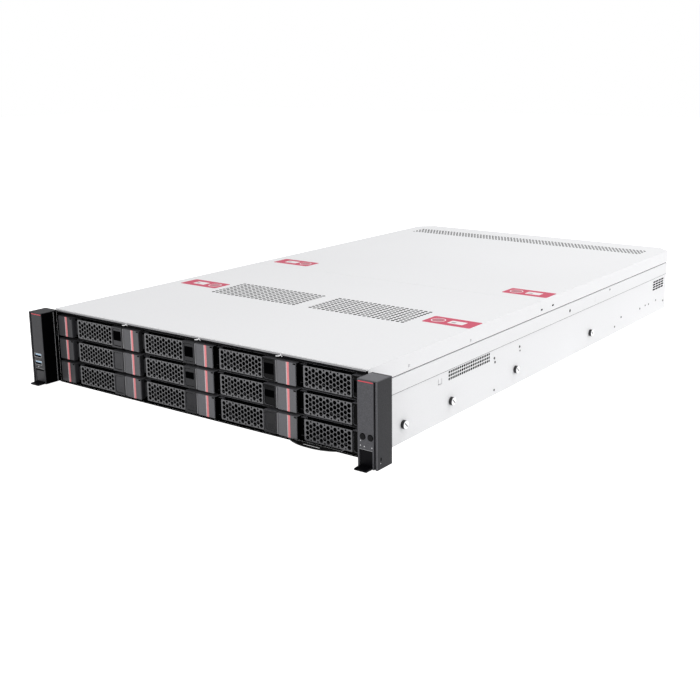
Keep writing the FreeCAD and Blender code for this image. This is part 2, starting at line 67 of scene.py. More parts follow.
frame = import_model()


# ---- materials ----------------------------------------------------------------------------
NOISE_RANGE = (0.3, 0.7)
FINE_DETAIL = 3.0
BROAD_DETAIL = 1.0
GLOSS_SPREAD = 0.04
BUMP_DEPTH = 0.0002


def node_material(name):
    """An empty node material with one shader."""
    material = bpy.data.materials.new(name)
    material.use_nodes = True
    tree = material.node_tree
    tree.nodes.clear()
    output = tree.nodes.new("ShaderNodeOutputMaterial")
    shader = tree.nodes.new("ShaderNodeBsdfPrincipled")
    tree.links.new(shader.outputs["BSDF"], output.inputs["Surface"])
    return material, tree, shader


def noise(tree, scale, detail, stretch=(1, 1, 1)):
    """Noise in the object's own space."""
    place = tree.nodes.new("ShaderNodeTexCoord")
    mapping = tree.nodes.new("ShaderNodeMapping")
    mapping.inputs["Scale"].default_value = stretch
    tree.links.new(place.outputs["Object"], mapping.inputs["Vector"])
    field = tree.nodes.new("ShaderNodeTexNoise")
    field.inputs["Scale"].default_value = scale
    field.inputs["Detail"].default_value = detail
    tree.links.new(mapping.outputs["Vector"], field.inputs["Vector"])
    return field.outputs["Fac"]


def spread(tree, value, low, high):
    """Stretch the middle of a noise to the range from low to high."""
    ranged = tree.nodes.new("ShaderNodeMapRange")
    ranged.inputs["From Min"].default_value = NOISE_RANGE[0]
    ranged.inputs["From Max"].default_value = NOISE_RANGE[1]
    ranged.inputs["To Min"].default_value = low
    ranged.inputs["To Max"].default_value = high
    tree.links.new(value, ranged.inputs["Value"])
    return ranged.outputs["Result"]


def grained(name, color, rough, metal=0.0, vary=0.05, grain=900.0, bump=0.05, cloud=6.0,
            stretch=(1, 1, 1), specular=0.5):
    """Painted or moulded surface: fine grain in colour and bump, broad change in gloss."""
    material, tree, shader = node_material(name)
    fine = noise(tree, grain, FINE_DETAIL, stretch)
    broad = noise(tree, cloud, BROAD_DETAIL)
    mix = tree.nodes.new("ShaderNodeMix")
    mix.data_type = "RGBA"
    mix.inputs["A"].default_value = [c * (1 - vary) for c in color] + [1]
    mix.inputs["B"].default_value = [min(1, c * (1 + vary)) for c in color] + [1]
    tree.links.new(spread(tree, fine, 0, 1), mix.inputs["Factor"])
    tree.links.new(mix.outputs["Result"], shader.inputs["Base Color"])
    gloss = spread(tree, broad, rough - GLOSS_SPREAD, rough + GLOSS_SPREAD)
    tree.links.new(gloss, shader.inputs["Roughness"])
    height = tree.nodes.new("ShaderNodeBump")
    height.inputs["Strength"].default_value = bump
    height.inputs["Distance"].default_value = BUMP_DEPTH
    tree.links.new(fine, height.inputs["Height"])
    tree.links.new(height.outputs["Normal"], shader.inputs["Normal"])
    shader.inputs["Metallic"].default_value = metal
    shader.inputs["Specular IOR Level"].default_value = specular
    return material


# Looks by the record's slots: name, colour, roughness, metal, variation, grain, bump, cloud.
LOOKS = {
    "shell": grained("shell_zinc", (0.82, 0.822, 0.835), 0.5, 0.0, 0.012, 500, 0.02, 5),
    "cover": grained("cover_paint", (0.84, 0.842, 0.855), 0.5, 0.0, 0.012, 600, 0.02, 4),
    "cage_metal": grained("cage_black", (0.004, 0.004, 0.005), 0.5, 0.0, 0.2, 800, 0.05,
                          specular=0.03),
    "carrier": grained("carrier_paint", (0.085, 0.085, 0.093), 0.45, 0.0, 0.12, 1500, 0.12,
                       specular=0.35),
    "grille": grained("grille_paint", (0.125, 0.125, 0.132), 0.4, 0.0, 0.12, 1500, 0.1),
    "tab": grained("tab_plastic", (0.004, 0.004, 0.005), 0.4, 0.0, 0.15, 1200, 0.06,
                   specular=0.04),
    "ear": grained("ear_plastic", (0.073, 0.073, 0.081), 0.5, 0.0, 0.25, 1300, 0.3,
                   specular=0.3),
    "latch": grained("latch_plastic", (0.003, 0.003, 0.004), 0.35, 0.0, 0.15, 1200, 0.06,
                     specular=0.05),
    "button": grained("button_plastic", (0.003, 0.003, 0.004), 0.2, 0.0, 0.1, 1200, 0.03,
                      specular=0.08),
    "info": grained("info_plastic", (0.004, 0.004, 0.004), 0.35, 0.0, 0.15, 1200, 0.05,
                    specular=0.15),
    "stud": grained("stud_steel", (0.62, 0.62, 0.63), 0.16, 1.0, 0.05, 600, 0.03),
    "board": grained("board_resist", (0.02, 0.085, 0.04), 0.35, 0.0, 0.2, 220, 0.1),
    "fan": grained("fan_plastic", (0.012, 0.012, 0.013), 0.4, 0.0, 0.15, 900, 0.05,
                   specular=0.2),
    "sink": grained("sink_aluminium", (0.72, 0.72, 0.74), 0.3, 0.9, 0.05, 700, 0.05,
                    stretch=(1, 0.1, 1)),
    "supply": grained("supply_steel", (0.5, 0.5, 0.51), 0.4, 0.7, 0.06, 700, 0.05),
}
# Looks of the pieces that this script adds, and of single CAD nodes
RED = grained("stripe_red", (0.85, 0.25, 0.27), 0.4, 0.0, 0.06, 500, 0.03)
EAR_RED = grained("strip_red", (0.75, 0.06, 0.09), 0.4, 0.0, 0.08, 500, 0.03)
# Black of painted shade, put in recesses, holes, slots and gaps and on faces that lie in shade.
SHADE_BLACK = grained("painted_shade_black", (0.0015, 0.0015, 0.0018), 0.7, 0.0, 0.2, 800, 0.05, specular=0.0)
# The left ear's plastic, darker than the right ear's as painted shade.
EAR_LEFT_SHADE = grained("ear_left", (0.032, 0.032, 0.036), 0.5, 0.0, 0.25, 1300, 0.3, specular=0.3)
# The ears' outer sides, darker as painted shade.
EAR_SIDE_SHADE = grained("ear_side", (0.02, 0.02, 0.023), 0.55, 0.0, 0.3, 700, 0.2, specular=0.2)
# Painted dark reflection on the rail studs' heads and painted shade on the side screws' drives.
DARK_REFLECTION_AND_SHADE = grained("painted_dark_reflection_and_shade", (0.03, 0.03, 0.032), 0.4, 0.0, 0.2, 700, 0.05, specular=0.2)
# Grey of painted shadow along the side wall's seams.
SEAM_SHADOW = grained("seam_shadow_grey", (0.16, 0.16, 0.17), 0.6, 0.0, 0.05, 500, 0.02, specular=0.1)
# Grey of painted highlights along edges.
HIGHLIGHT_GREY = grained("painted_highlight_grey", (0.3, 0.3, 0.31), 0.4, 0.0, 0.08, 1200, 0.05)
# Blue of the USB sockets' tongues, lightened by a painted highlight.
TONGUE_BLUE_AND_GLINT = grained("tongue_blue_and_painted_glint", (0.42, 0.6, 0.78), 0.4, 0.0, 0.06, 700, 0.04)
# Carriers and latch ends, one look for each column: lighter and darker copies of one paint, as
# painted light and shade.
SHADED_PANELS = [grained("panel_%d" % (i + 1), (v, v, v * 1.08), 0.45, 0.0, 0.12, 1500, 0.12,
                  specular=0.3) for i, v in enumerate((0.06, 0.1, 0.135, 0.145))]
SHADED_ENDS = [grained("end_%d" % (i + 1), (v, v, v * 1.06), 0.45, 0.0, 0.12, 1500, 0.1,
                specular=0.04) for i, v in enumerate((0.085, 0.05, 0.01, 0.002))]
# A deeper painted shade for one latch end and for some recess walls and knuckles.
DEEP_SHADE = grained("end_deep", (0.022, 0.022, 0.024), 0.45, 0.0, 0.12, 1500, 0.1, specular=0.15)
LABEL_RED = grained("sticker_red", (0.62, 0.075, 0.14), 0.5, 0.0, 0.05, 400, 0.02)
LABEL_PALE = grained("sticker_pale", (0.86, 0.83, 0.84), 0.5, 0.0, 0.05, 400, 0.02)
LABEL_GREY = grained("sticker_grey", (0.42, 0.36, 0.38), 0.5, 0.0, 0.1, 400, 0.02)
BRIGHT = grained("bright_steel", (0.7, 0.7, 0.71), 0.25, 1.0, 0.05, 700, 0.04)
DISK = grained("disk_steel", (0.36, 0.36, 0.37), 0.38, 0.6, 0.05, 700, 0.04)
# Pale grey of the lamps' lenses; on the stripes it is a painted glint.
LENS_AND_GLINT = grained("lamp_lens_and_painted_glint", (0.62, 0.62, 0.64), 0.2, 0.0, 0.05, 400, 0.02)
GREEN = grained("catch_green", (0.05, 0.33, 0.14), 0.4, 0.0, 0.08, 500, 0.04)
GOLD = grained("pin_brass", (0.75, 0.52, 0.2), 0.25, 1.0, 0.05, 700, 0.03)


def end_look(row, column):
    """Painted shade: the latch block is darker towards the right-hand columns; one bay has a shade
    of its own.
    """
    if row == 3 and column == 3:
        return DEEP_SHADE
    return SHADED_ENDS[column - 1]


def node_look(name, slot):
    """A CAD node's material: its slot's look, or its own on the face of the server, where the left
    ear, the carriers and the release tabs get painted shade by side or column.
    """
    if name == "ear_left":
        return EAR_LEFT_SHADE
    if name.startswith("drive_carrier_"):
        return SHADED_PANELS[int(name[-1]) - 1]
    if name.startswith("release_tab_"):
        return end_look(int(name[-2]), int(name[-1]))
    return LOOKS[slot]


# A handle's face is part of its front where its normal points at least this far forward.
FRONT_NORMAL = -0.9
WELD = 0.00001
ROUND_ANGLE = 40
# nodes whose edges get a small round, and its width in mm
SOFT_EDGES = ((["ear_left", "ear_right", "power_button", "id_button"], 0.3),
              (["info_tab", "rack_latch_left", "rack_latch_right"], 0.2),
              (["release_tab_%d%d" % bay for bay in BAYS], 0.35),
              (["drive_carrier_%d%d" % bay for bay in BAYS], 0.25))


def dress_frame():
    """Give each CAD node its look; a handle's faces other than its front are black as painted shade
    in its holes.
    """
    slots = {part["node"]: part["material_slot"] for part in frame["record"]["subparts"]}
    for name, node in frame["nodes"].items():
        node.data.materials.clear()
        node.data.materials.append(node_look(name, slots[name]))
        if name.startswith("carrier_handle_"):
            node.data.materials.append(SHADE_BLACK)
            for face in node.data.polygons:
                face.material_index = 0 if face.normal.y < FRONT_NORMAL else 1


def soften(nodes, width):
    """Small round on the edges of some CAD nodes."""
    for name in nodes:
        node = frame["nodes"][name]
        weld = node.modifiers.new("weld", "WELD")
        weld.merge_threshold = WELD
        bevel = node.modifiers.new("bevel", "BEVEL")
        bevel.width = width
        bevel.segments = 2
        bevel.limit_method = "ANGLE"
        bevel.angle_limit = math.radians(ROUND_ANGLE)
        bevel.harden_normals = True


# ---- mesh helpers -------------------------------------------------------------------------
CORNER_STEPS = 5
FRONT = -375 * MM


def at_depth(depth):
    """Y of what lies that many millimetres behind the chassis's front."""
    return FRONT + depth * MM


def span(side, start, end):
    """Range in x, from millimetres to the right (side 1) or the left (side -1)."""
    return sorted((side * start * MM, side * end * MM))


def past(level, values):
    """Start and end of a range in mm that is counted from a level in metres."""
    return level + values[0] * MM, level + values[1] * MM


def lift(axis, point, along):
    """Place a point of a flat outline along the axis that the outline is drawn across."""
    a, b = point
    return {"x": (along, a, b), "y": (a, along, b), "z": (a, b, along)}[axis]


def rounded(a0, a1, b0, b1, r):
    """Outline with round corners, in metres."""
    points = []
    for a, b, quarter in ((a1 - r, b1 - r, 0), (a0 + r, b1 - r, 1), (a0 + r, b0 + r, 2),
                          (a1 - r, b0 + r, 3)):
        for i in range(CORNER_STEPS + 1):
            angle = math.pi / 2 * (quarter + i / CORNER_STEPS)
            points.append((a + r * math.cos(angle), b + r * math.sin(angle)))
    return points


def plate(across, up, r, corner=(0, 0)):
    """Rounded outline: two ranges and a radius in mm, counted from a corner in metres."""
    return rounded(*past(corner[0], across), *past(corner[1], up), r * MM)


def square(across, up):
    """Outline with sharp corners; the ranges are in mm."""
    (a0, a1), (b0, b1) = across, up
    return [(a * MM, b * MM) for a, b in ((a0, b0), (a1, b0), (a1, b1), (a0, b1))]


def circle(a, b, r, sides=24):
    return [(a + r * math.cos(2 * math.pi * i / sides), b + r * math.sin(2 * math.pi * i / sides))
            for i in range(sides)]


def hexagon(a, b, r):
    return [(a + r * math.cos(math.pi / 6 + i * math.pi / 3),
             b + r * math.sin(math.pi / 6 + i * math.pi / 3)) for i in range(6)]


def stroke(points, width):
    """Outline of a bent strip that follows the points."""
    half = width / 2
    left_side, right_side = [], []
    for i, (a, b) in enumerate(points):
        a0, b0 = points[max(i - 1, 0)]
        a1, b1 = points[min(i + 1, len(points) - 1)]
        length = math.hypot(a1 - a0, b1 - b0)
        da, db = -(b1 - b0) / length * half, (a1 - a0) / length * half
        left_side.append((a + da, b + db))
        right_side.append((a - da, b - db))
    return left_side + right_side[::-1]


def add_prism(mesh, loops, axis, start, end):
    """One closed prism; a second loop of the same count is its window."""
    rings = []
    for loop in loops:
        rings.append([[mesh.verts.new(lift(axis, p, along)) for p in loop]
                      for along in (start, end)])
    count = len(loops[0])
    for low, high in rings:
        for i in range(count):
            j = (i + 1) % count
            mesh.faces.new((low[i], low[j], high[j], high[i]))
    for level in (0, 1):
        if len(rings) == 1:
            mesh.faces.new(rings[0][level])
            continue
        outer, inner = rings[0][level], rings[1][level]
        for i in range(count):
            j = (i + 1) % count
            mesh.faces.new((outer[i], outer[j], inner[j], inner[i]))


def add_lathe(mesh, profile, axis, centre, along, sides=20):
    """Turned form; profile holds (radius, height) pairs, the height measured along the axis."""
    rings = []
    for radius, height in profile:
        if radius == 0:
            rings.append([mesh.verts.new(lift(axis, centre, along + height))])
        else:
            points = circle(centre[0], centre[1], radius, sides)
            rings.append([mesh.verts.new(lift(axis, p, along + height)) for p in points])
    if len(rings[0]) > 1:
        mesh.faces.new(rings[0])
    for a, b in zip(rings, rings[1:]):
        for i in range(sides):
            j = (i + 1) % sides
            if len(b) == 1:
                mesh.faces.new((a[i], a[j], b[0]))
            else:
                mesh.faces.new((a[i], a[j], b[j], b[i]))


def piece(name, mesh, material, body, bevel=0.0):
    """Turn a drawn mesh into a named piece that rides a body."""
    bmesh.ops.recalc_face_normals(mesh, faces=mesh.faces)
    data = bpy.data.meshes.new(name)
    mesh.to_mesh(data)
    mesh.free()
    data.materials.append(material)
    obj = bpy.data.objects.new(name, data)
    bpy.context.scene.collection.objects.link(obj)
    if bevel:
        edge = obj.modifiers.new("bevel", "BEVEL")
        edge.width = bevel
        edge.segments = 2
        edge.limit_method = "ANGLE"
    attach(obj, body)


def prism(name, loops, axis, start, end, material, body, slot, bevel=0.0):
    """A piece that is one prism."""
    mesh = bmesh.new()
    add_prism(mesh, loops, axis, start, end)
    piece(name, mesh, material, body, bevel)


# ---- drive bays ---------------------------------------------------------------------------
# In mm: across from a bay's left end, up from its base, back from the bezel's face.
FACE = 22.6
BAY_GAP = 0.6
# An outline, here and below, is a range across, a range up or back, and a corner radius.
STRIPE = ((13.85, 17.35), (0, FACE), 0.2)
GLINT = ((13.9, 14.7), (0.3, FACE - 0.3), 0.1)
BEZEL_EDGE = ((0.7, 1.3), (0.5, FACE - 0.5), 0.2)
RECESS = ((25.4, 91.6), (0.4, FACE - 0.4), 0.2)
HANDLE_WINDOW = ((36.5, 88.5), (3, FACE - 3), 0.2)
DISK_FACE = ((5, 103), (0.8, 25.3), 1)
LATCH_END = ((91.7, 107.6), (0, FACE), 0.5)
TAB_HOLE = ((92.8, 106.8), (FACE / 2 - 9.7, FACE / 2 + 9.7), 2.6)
BEZEL_SLOT = ((22.3, 25.35), (FACE - 1.7, FACE - 0.3), 0.4)
# name, outlines, back, look, slot, round of the edges
# The stripe's glint and the grey bezel edge are painted highlights; the black skins and the bezel's
# end are painted shade.
BAY_SKINS = (("stripe", (STRIPE,), (-0.05, 0.29), RED, "carrier", 0.1),
             ("stripe_glint", (GLINT,), (-0.08, -0.05), LENS_AND_GLINT, "carrier", 0),
             ("bezel_edge", (BEZEL_EDGE,), (0.2, 1.4), HIGHLIGHT_GREY, "carrier", 0),
             ("bezel_recess_shade", (RECESS, HANDLE_WINDOW), (8.88, 8.99), SHADE_BLACK, "tab", 0),
             ("disk_front", (DISK_FACE,), (13.8, 13.99), SHADE_BLACK, "tab", 0),
             ("bezel_end", (LATCH_END, TAB_HOLE), (-0.12, -0.01), DEEP_SHADE, "tab", 0),
             ("bezel_slot", (BEZEL_SLOT,), (-0.06, 0.05), SHADE_BLACK, "tab", 0))
# the recess's left wall: back, up and corner radius, range across, looks by column as painted shade
RECESS_WALL = ((1.2, 8.9), (0.2, FACE - 0.2), 0.2)
RECESS_WALL_ACROSS = (25.4, 25.5)
RECESS_WALL_LOOKS = {1: EAR_LEFT_SHADE, 2: DEEP_SHADE}
HINGE_FACE = (4.4, 4.49)
LUGS = (((26.9, 31.9), (1.0, 3.4), 0.1), ((26.9, 31.9), (19.2, 21.6), 0.1))
KNUCKLE = ((27.6, 33.7), (3.8, 18.8), 0.1)
CATCH_FIRST = (7.6, 18.3)
CATCH_TOP = (6.5, 17.5)
CATCH_MIDDLE = (9.8, 17.0)
CATCH_INSET = 0.4
CATCH_CORNER = 0.5
CATCH_BACK = (-0.1, 0.1)
RIBS = 3
RIB_START = 2.2
RIB_PITCH = 1.7
RIB_HEIGHT = 0.8
RIB_INSET = 3
RIB_CORNER = 0.35
RIB_BACK = (-0.2, 0.1)
LID_ACROSS = (4.3, 103.9)
LID_BACK = (15, 160)
LID_CORNER = 4
LID_HEIGHT = 25.4
LID_LEVELS = (-0.1, 0.15)
HUB_BACK = 52
# radii and sides of the pressed ring and of the boss inside it
HUB_FORMS = (((44, 42.6), 48), ((11,), 32))
HUB_LEVELS = (0.1, 0.3)


def skin_look(name, look, row, column):
    """The look of a bay's skin; for two of them it goes by the bay, as painted shade."""
    if name == "bezel_edge" and column == 1:
        return SHADE_BLACK
    if name == "bezel_end":
        return end_look(row, column)
    return look


def bay_trim(row, column):
    """Stripe, painted highlights and painted-shade skins of one carrier, its hinge, its catch and
    its disk's lid.
    """
    label = "%d%d" % (row, column)
    body = "carrier_" + label
    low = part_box("drive_carrier_" + label)[0]
    front = low.y
    corner = (low.x - BAY_GAP * MM, low.z)
    for name, outlines, back, look, slot, bevel in BAY_SKINS:
        loops = [plate(*outline, corner) for outline in outlines]
        prism("%s_%s" % (name, label), loops, "y", *past(front, back),
              skin_look(name, look, row, column), body, slot, bevel * MM)
    wall = plate(*RECESS_WALL, (front, low.z))
    prism("recess_wall_" + label, [wall], "x", *past(corner[0], RECESS_WALL_ACROSS),
          RECESS_WALL_LOOKS.get(column, SHADE_BLACK), body, "tab")
    hinge_skins(label, column, corner, front)
    catch(label, row, column, low.z)
    disk_lid(label, body, corner, front)


def hinge_skins(label, column, corner, front):
    """Painted shade on the faces of the lugs and of the knuckle between them."""
    start, end = past(front, HINGE_FACE)
    mesh = bmesh.new()
    for lug in LUGS:
        add_prism(mesh, [plate(*lug, corner)], "y", start, end)
    piece("lug_skins_" + label, mesh, SHADE_BLACK, "carrier_" + label)
    prism("knuckle_skin_" + label, [plate(*KNUCKLE, corner)], "y", start, end,
          DEEP_SHADE if column < 3 else SHADE_BLACK, "handle_" + label, "tab")


def catch(label, row, column, base):
    """Catch window black as painted shade, or ribbed grip in the bay's painted shade, on the
    release tab.
    """
    body = "release_" + label
    low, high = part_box("release_tab_" + label)
    if row == 1 or (row == 2 and column in (2, 3)):
        up = CATCH_MIDDLE
        if row == 1:
            up = CATCH_FIRST if column == 1 else CATCH_TOP
        outline = rounded(low.x + CATCH_INSET * MM, high.x - CATCH_INSET * MM, *past(base, up),
                          CATCH_CORNER * MM)
        prism("catch_window_" + label, [outline], "y", *past(low.y, CATCH_BACK), SHADE_BLACK, body,
              "tab")
        return
    ridge = bmesh.new()
    for i in range(RIBS):
        z = low.z + (RIB_START + i * RIB_PITCH) * MM
        outline = rounded(low.x + RIB_INSET * MM, high.x - RIB_INSET * MM, z,
                          z + RIB_HEIGHT * MM, RIB_CORNER * MM)
        add_prism(ridge, [outline], "y", *past(low.y, RIB_BACK))
    piece("tab_grip_" + label, ridge, end_look(row, column), body)


def disk_lid(label, body, corner, front):
    """Pressed lid of the disk, seen when the carrier is pulled out."""
    x0, x1 = past(corner[0], LID_ACROSS)
    y0, y1 = past(front, LID_BACK)
    z = corner[1] + LID_HEIGHT * MM
    hub = ((x0 + x1) / 2, y0 + HUB_BACK * MM)
    mesh = bmesh.new()
    add_prism(mesh, [rounded(x0, x1, y0, y1, LID_CORNER * MM)], "z", *past(z, LID_LEVELS))
    for radii, sides in HUB_FORMS:
        add_prism(mesh, [circle(*hub, r * MM, sides) for r in radii], "z", *past(z, HUB_LEVELS))
    piece("disk_lid_" + label, mesh, DISK, body)


# ---- lip above the drives and sill below them ---------------------------------------------
COLUMN_PITCH = 108.2
LIP_BASE = 81.2
HOOK_DEPTH = 0.8
# A hook's bend and its arm: points from the column's line and the lip's base, width, thickness.
HOOK = ((((0.6, 0.2), (3.2, 0.5), (5.4, 1.1), (6.8, 2.0), (7.2, 3.4)), 0.8, 0.4),
        (((6.9, 2.2), (7.9, 1.1), (9.0, 0.8)), 0.6, 0.35))
HOOK_ROUND = 0.06
# the lip's painted highlight along its edge: below the cover's top, behind the front, corner radius
LIP_EDGE = (-2.9, -1.25)
LIP_EDGE_DEPTHS = (0.9, 0.99)
LIP_CORNER = 0.1
WALL_INSIDE = 216.2
SLEEVE = (120.8, 187.2)
SLEEVE_SLOT = (123.6, 184.4)
# x and z of the painted-shade skins beside the information tab's sleeve and around its slot
SILL = (((-WALL_INSIDE, SLEEVE[0]), (0.05, 1.2)), ((SLEEVE[1], WALL_INSIDE), (0.05, 1.2)),
        (SLEEVE, (0.05, 0.45)), (SLEEVE, (1.75, 2.15)),
        ((SLEEVE[0], SLEEVE_SLOT[0]), (0.45, 1.75)), ((SLEEVE_SLOT[1], SLEEVE[1]), (0.45, 1.75)))
SKIN_DEPTHS = (-0.06, -0.01)
# the floor under the carriers: half width, depths of its front, of the sleeve's end, of its back
BAY_FLOOR_HALF = 216
BAY_FLOOR_DEPTHS = (0.1, 74.2, 165)
BAY_FLOOR_LEVELS = (1.21, 1.3)
SLEEVE_TOP = ((121, 187), (0.1, 74), 0.2)
SLEEVE_TOP_LEVELS = (2.21, 2.26)


def lip_hooks():
    """Bright spring hooks between the columns, under the cover's front edge."""
    start = at_depth(HOOK_DEPTH)
    mesh = bmesh.new()
    for i in (-1, 0, 1):
        for points, width, thick in HOOK:
            bend = [((i * COLUMN_PITCH + a) * MM, (LIP_BASE + b) * MM) for a, b in points]
            add_prism(mesh, [stroke(bend, width * MM)], "y", start, start + thick * MM)
    piece("lip_hooks", mesh, BRIGHT, "chassis", HOOK_ROUND * MM)


def lip_edge():
    """Painted highlight along the lip's edge, under the cover."""
    low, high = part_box("drive_cage")
    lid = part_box("front_cover")[1].z
    edge = rounded(low.x, high.x, *past(lid, LIP_EDGE), LIP_CORNER * MM)
    prism("lip_edge", [edge], "y", *past(FRONT, LIP_EDGE_DEPTHS), HIGHLIGHT_GREY, "chassis", "stud")


def sill():
    """Black skins of painted shade on the sill, on the floor under the carriers and on the tab's
    sleeve.
    """
    mesh = bmesh.new()
    for across, up in SILL:
        add_prism(mesh, [square(across, up)], "y", *past(FRONT, SKIN_DEPTHS))
    piece("sill_skin", mesh, SHADE_BLACK, "chassis")
    edge, sleeve_end, back = (at_depth(depth) for depth in BAY_FLOOR_DEPTHS)
    left, right = SLEEVE[0] * MM, SLEEVE[1] * MM
    half = BAY_FLOOR_HALF * MM
    under = [(-half, edge), (left, edge), (left, sleeve_end), (right, sleeve_end),
             (right, edge), (half, edge), (half, back), (-half, back)]
    prism("bay_floor", [under], "z", *past(0, BAY_FLOOR_LEVELS), SHADE_BLACK, "chassis",
          "cage_metal")
    prism("sleeve_top", [plate(*SLEEVE_TOP, (0, FRONT))], "z", *past(0, SLEEVE_TOP_LEVELS),
          SHADE_BLACK, "chassis", "cage_metal")


# ---- vents in the covers and the walls ----------------------------------------------------
# In mm: x, height or depth behind the front.
FIELD_STARTS = (-134.5, 15.6)
FIELD_WIDTH = 130.4
FIELD_DEPTHS = (163.1, 223.1)
FIELD_MARGIN = 2.3
FIELD_COUNTS = (21, 10)
FIELD_PITCHES = (6.29, 6.16)
FIELD_R = 2.0
FIELD_RIM = 0.35
STRIP_ACROSS = (-196.0, 196.0)
STRIP_DEPTHS = (696.0, 729.0)
STRIP_PITCH = 5.5
STRIP_R = 1.75
STRIP_RIM = 0.1
# levels from the cover's top of the painted shade: the rims' faces, the plugs in the holes, the
# sheet below them
SHADE_RIM = (-0.02, 0.02)
SHADE_PLUG = (-1.3, -0.02)
SHADE_SHEET = (-1.7, -1.3)
SHADE_CORNER = 1
SHADE_FIT = 0.04
WALL_SHADE = (216.2, 217.83)
WALL_VENT = ((140.4, 42.0), (23, 3), (3.7, 3.65))
WALL_VENT_R = 1.55
LOUVRE_START = (698.5, 34.6)
LOUVRES_EACH_WAY = 4
LOUVRE_PITCHES = (10.4, 3.6)
LOUVRE_SHIFT = 0.8
LOUVRE = ((-0.1, 8.7), (-0.1, 2.1), 0.05)
# x of the wall or the band above it, height from and to, depth of the end
SEAMS = ((217.8, (51.5, 52.2), 750), (217.3, (68.25, 69.35), 748))
SEAM_START = 4.8
SEAM_CORNER = 0.1
SEAM_SKIN = (0.01, 0.06)
BAND_PLUG = (217.2, 218.35)
BAND_SLOT = ((490.1, 499.9), (57.1, 60.9), 1.8)
# depth, height and radius
BAND_HOLES = ((420, 59, 1.9), (540.7, 64.3, 1.4))
SLOT_PLUG = (217.4, 218.4)
SLOT_PLUG_START = 0.2
SLOT_PLUG_HALF = 0.9
SLOT_PLUG_CORNER = 0.6
# body, depths of the slots, where the plugs end in them, height, look
SLOT_PLUGS = (("rear_cover", (340.6, 369.5), 4.8, 75, SHADE_BLACK),
              ("chassis", (64.6, 179.6), 2.8, 73.9, LENS_AND_GLINT))


def staggered(a0, a1, b0, b1, pitch, r):
    """Centres of the rear cover's holes, whose rows are shifted by half a pitch in turn."""
    step = pitch * math.sqrt(3) / 2
    rows = int((b1 - b0 - 2 * r) / step) + 1
    cols = int((a1 - a0 - 2 * r - pitch / 2) / pitch) + 1
    start_b = (b0 + b1 - (rows - 1) * step) / 2
    start_a = (a0 + a1 - (cols - 0.5) * pitch) / 2
    return [(start_a + j * pitch + (pitch / 2 if i % 2 else 0), start_b + i * step)
            for i in range(rows) for j in range(cols)]


def grid(first, counts, pitches):
    """Centres of the holes that lie in straight rows and columns."""
    return [(first[0] + i * pitches[0], first[1] + j * pitches[1])
            for i in range(counts[0]) for j in range(counts[1])]


def cover_vent_shade(name, fields, r, rim, body):
    """Black painted shade under a cover that fills its holes and covers a thin rim around each."""
    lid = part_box("front_cover")[1].z
    mesh = bmesh.new()
    for across, depths, centres in fields:
        for x, depth in centres:
            for size, levels in ((r + rim, SHADE_RIM), (r - SHADE_FIT, SHADE_PLUG)):
                add_prism(mesh, [hexagon(x * MM, at_depth(depth), size * MM)], "z",
                          *past(lid, levels))
        add_prism(mesh, [plate(across, depths, SHADE_CORNER, (0, FRONT))], "z",
                  *past(lid, SHADE_SHEET))
    piece("vent_shade_fill_" + name, mesh, SHADE_BLACK, body)


def cover_vents():
    """Painted shade under the front cover's two fields and under the rear cover's strip."""
    fields = []
    for start in FIELD_STARTS:
        first = (start + FIELD_MARGIN, FIELD_DEPTHS[0] + FIELD_MARGIN)
        fields.append(((start, start + FIELD_WIDTH), FIELD_DEPTHS,
                       grid(first, FIELD_COUNTS, FIELD_PITCHES)))
    cover_vent_shade("front", fields, FIELD_R, FIELD_RIM, "chassis")
    holes = staggered(*STRIP_ACROSS, *STRIP_DEPTHS, STRIP_PITCH, STRIP_R)
    cover_vent_shade("rear", ((STRIP_ACROSS, STRIP_DEPTHS, holes),), STRIP_R, STRIP_RIM, "rear_cover")


def wall_vents(side, name):
    """Black painted shade that fills one wall's holes and louvres, with a thin rim around them."""
    start, end = span(side, *WALL_SHADE)
    mesh = bmesh.new()
    for depth, z in grid(*WALL_VENT):
        add_prism(mesh, [hexagon(at_depth(depth), z * MM, WALL_VENT_R * MM)], "x", start, end)
    for row in range(LOUVRES_EACH_WAY):
        for column in range(LOUVRES_EACH_WAY):
            depth = LOUVRE_START[0] + column * LOUVRE_PITCHES[0] + row % 2 * LOUVRE_SHIFT
            z = LOUVRE_START[1] + row * LOUVRE_PITCHES[1]
            add_prism(mesh, [plate(*LOUVRE, (at_depth(depth), z * MM))], "x", start, end)
    piece("vent_shade_fill_" + name, mesh, SHADE_BLACK, "chassis")


def wall_seams(side, name):
    """Grey lines of painted shadow at the seams where the wall, its band and the cover's side meet.
    """
    mesh = bmesh.new()
    for x, up, depth in SEAMS:
        add_prism(mesh, [plate((SEAM_START, depth), up, SEAM_CORNER, (FRONT, 0))], "x",
                  *span(side, x + SEAM_SKIN[0], x + SEAM_SKIN[1]))
    piece("seam_shadow_" + name, mesh, SEAM_SHADOW, "chassis")


def band_plugs(side, name):
    """Plugs in the band's holes: the long one looks closed, the two round ones are black as painted
    shade.
    """
    start, end = span(side, *BAND_PLUG)
    prism("band_slot_" + name, [plate(*BAND_SLOT, (FRONT, 0))], "x", start, end,
          LOOKS["shell"], "chassis", "shell")
    mesh = bmesh.new()
    for depth, z, r in BAND_HOLES:
        add_prism(mesh, [circle(at_depth(depth), z * MM, r * MM)], "x", start, end)
    piece("band_holes_" + name, mesh, SHADE_BLACK, "chassis")


